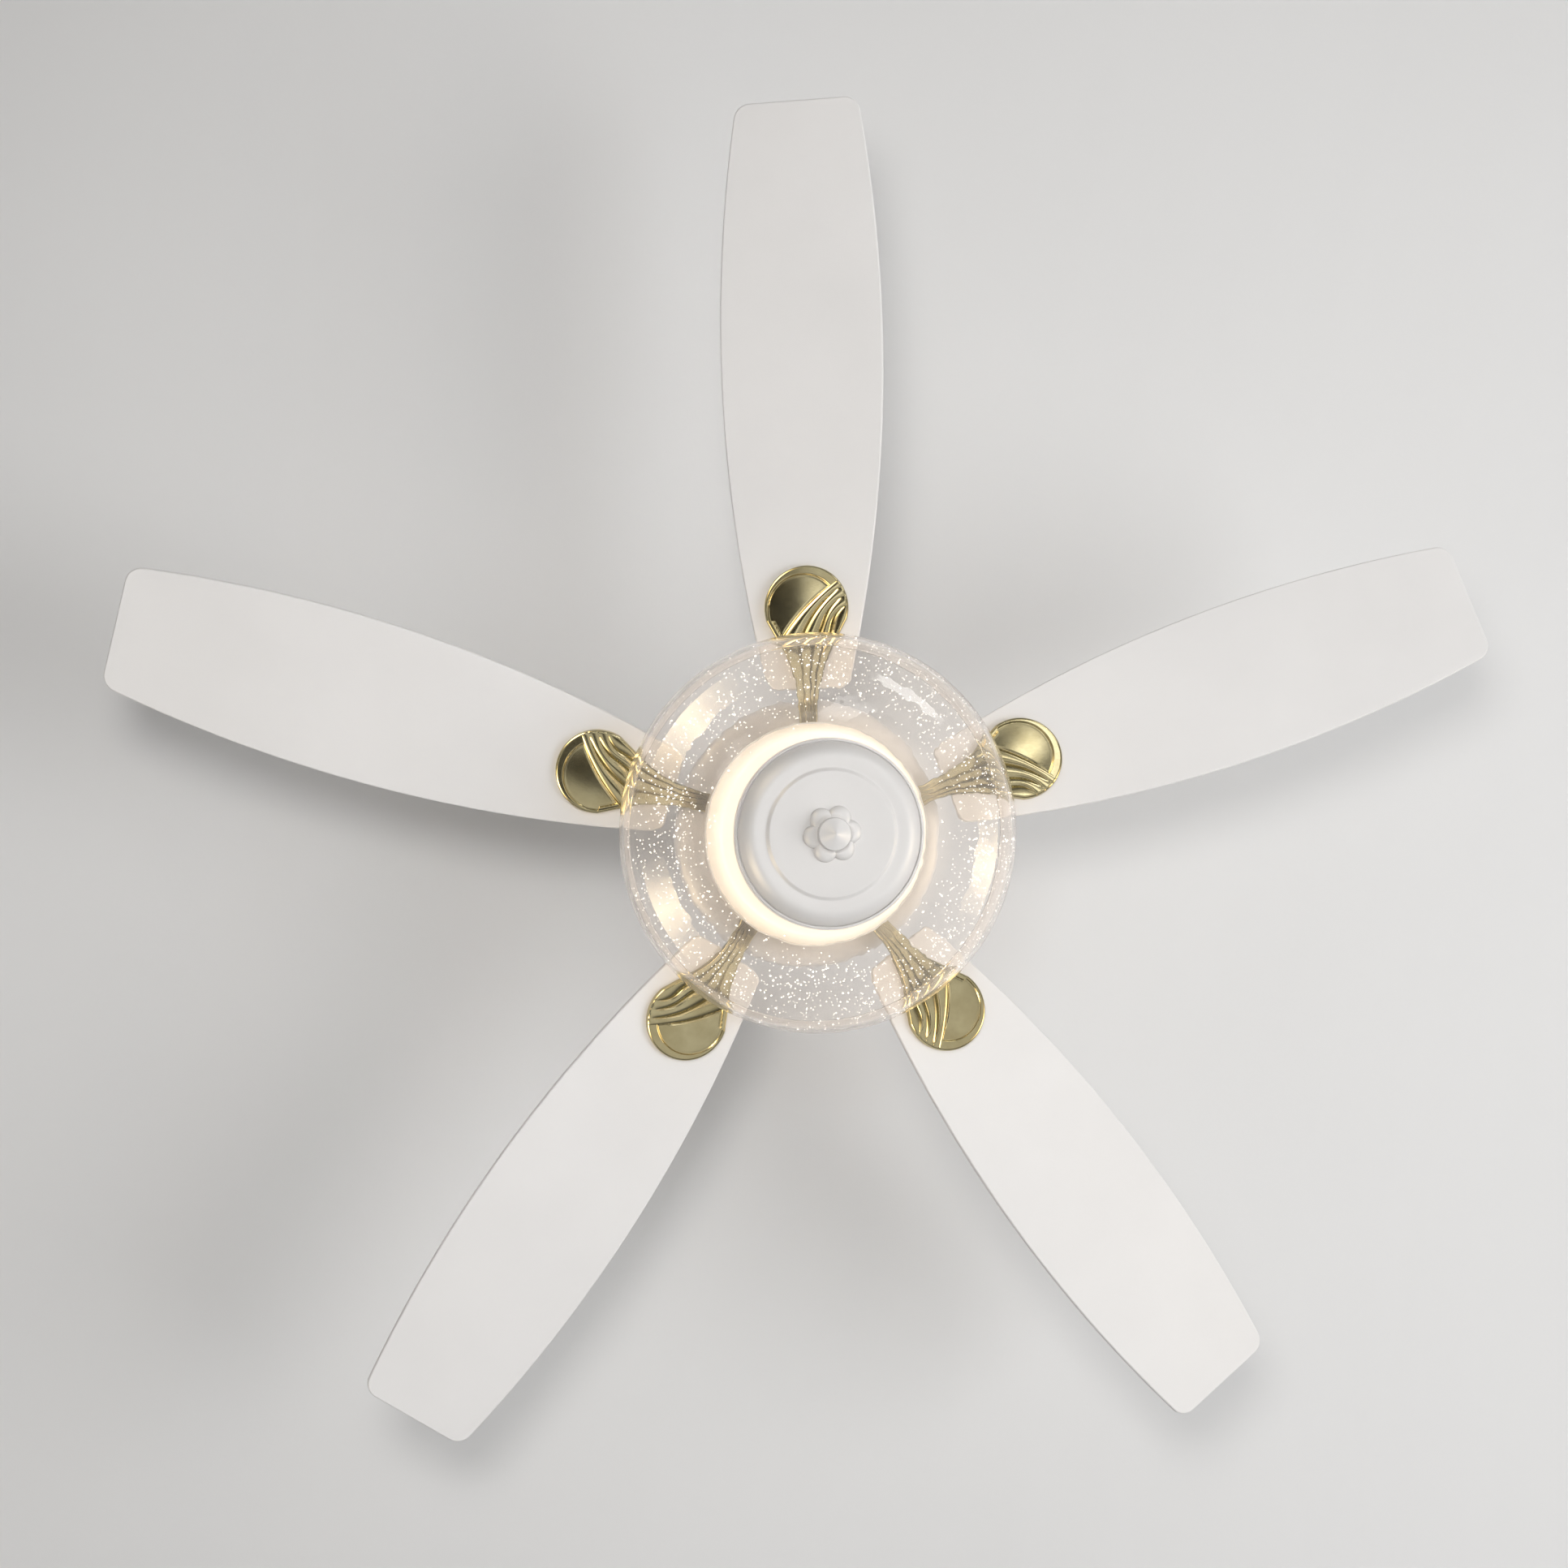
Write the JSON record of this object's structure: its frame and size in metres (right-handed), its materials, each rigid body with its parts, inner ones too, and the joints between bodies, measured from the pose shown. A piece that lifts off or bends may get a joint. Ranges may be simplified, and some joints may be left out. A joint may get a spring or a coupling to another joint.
{
  "type": "ceiling fan with light",
  "caption": "Downrod ceiling fan with white paddle blades on fluted brass irons and a seeded glass bowl light closed by a white cap and flower finial.",
  "frame": {"origin": "middle of the bracket's top face on the ceiling plane", "axes": "+Z up along the downrod, +Y along the first blade, +X to the left in a view from below with +Y up"},
  "size_m": [1.2826, 1.2213, 0.4099],
  "materials": {
    "steel_zinc": "zinc plated pressed steel",
    "white_metal": "satin white enamel",
    "screw_steel": "plated steel",
    "bearing_steel": "ground bearing steel",
    "satin_brass": "satin antique brass",
    "ball_plastic": "black nylon",
    "receiver_plastic": "moulded plastic",
    "wire_cover": "wire insulation",
    "cast_zinc": "cast and tumbled",
    "rotor_alloy": "die-cast alloy",
    "core_iron": "stacked laminations",
    "copper_wire": "enamelled copper wire",
    "fibre": "vulcanised fibre",
    "blade_white": "white lacquered board",
    "board_white": "white solder mask",
    "chip_yellow": "phosphor",
    "diffuser_white": "opal plastic",
    "seeded_glass": "clear seeded glass",
    "gasket_white": "translucent silicone"
  },
  "bodies": {
    "ceiling_mount": {"ceiling_bracket": "steel_zinc", "canopy": "white_metal", "canopy_screws": "screw_steel", "remote_receiver": "receiver_plastic"},
    "hanger": {"hanger_ball": "ball_plastic", "ball_pin": "screw_steel", "downrod": "satin_brass", "lead_wires": "wire_cover", "coupling": "cast_zinc", "coupling_pin": "screw_steel", "coupling_clip": "screw_steel", "coupling_set_screws": "screw_steel", "coupling_cover": "white_metal", "motor_housing": "white_metal", "housing_screws": "screw_steel", "motor_shaft": "screw_steel", "stator_core": "core_iron", "stator_windings": "copper_wire", "upper_bearing_inner": "bearing_steel", "lower_bearing_inner": "bearing_steel", "light_hub": "cast_zinc", "shaft_nut": "screw_steel", "light_pan": "white_metal", "pan_screws": "screw_steel", "lamp_driver": "receiver_plastic", "lamp_plate": "rotor_alloy", "plate_screws": "screw_steel", "lamp_board": "board_white", "lamp_chips": "chip_yellow", "diffuser": "diffuser_white", "centre_rod": "screw_steel", "centre_rod_nuts": "screw_steel", "glass_bowl": "seeded_glass", "bowl_gasket": "gasket_white", "bowl_cap": "white_metal"},
    "rotor": {"rotor_upper_case": "rotor_alloy", "rotor_lower_case": "rotor_alloy", "rotor_ring": "core_iron", "case_screws": "screw_steel", "upper_bearing_outer": "bearing_steel", "lower_bearing_outer": "bearing_steel", "iron_pads": "fibre", "iron_screws": "screw_steel", "blade_screws": "screw_steel", "blade_washers": "fibre", "blade_iron_1": "satin_brass", "blade_iron_2": "satin_brass", "blade_iron_3": "satin_brass", "blade_iron_4": "satin_brass", "blade_iron_5": "satin_brass", "blade_1": "blade_white", "blade_2": "blade_white", "blade_3": "blade_white", "blade_4": "blade_white", "blade_5": "blade_white"},
    "bearing_balls": {"upper_bearing_balls": "bearing_steel", "lower_bearing_balls": "bearing_steel"},
    "finial": {"flower_finial": "white_metal"}
  },
  "joints": [
    {"name": "rod_swing", "type": "hinge", "parent": "ceiling_mount", "child": "hanger", "pos_m": [0, 0, -0.0505], "axis": [1, 0, 0], "range_deg": [-15, 15]},
    {"name": "rotor_spin", "type": "hinge", "parent": "hanger", "child": "rotor", "pos_m": [0, 0, -0.227], "axis": [0, 0, 1], "continuous": true},
    {"name": "ball_orbit", "type": "hinge", "parent": "hanger", "child": "bearing_balls", "pos_m": [0, 0, -0.227], "axis": [0, 0, 1], "continuous": true},
    {"name": "finial_turn", "type": "hinge", "parent": "hanger", "child": "finial", "pos_m": [0, 0, -0.387], "axis": [0, 0, 1], "range_deg": [-1800, 0]}
  ],
  "couplings": [
    {"joint": "ball_orbit", "follows": "rotor_spin", "ratio": 0.61909}
  ]
}
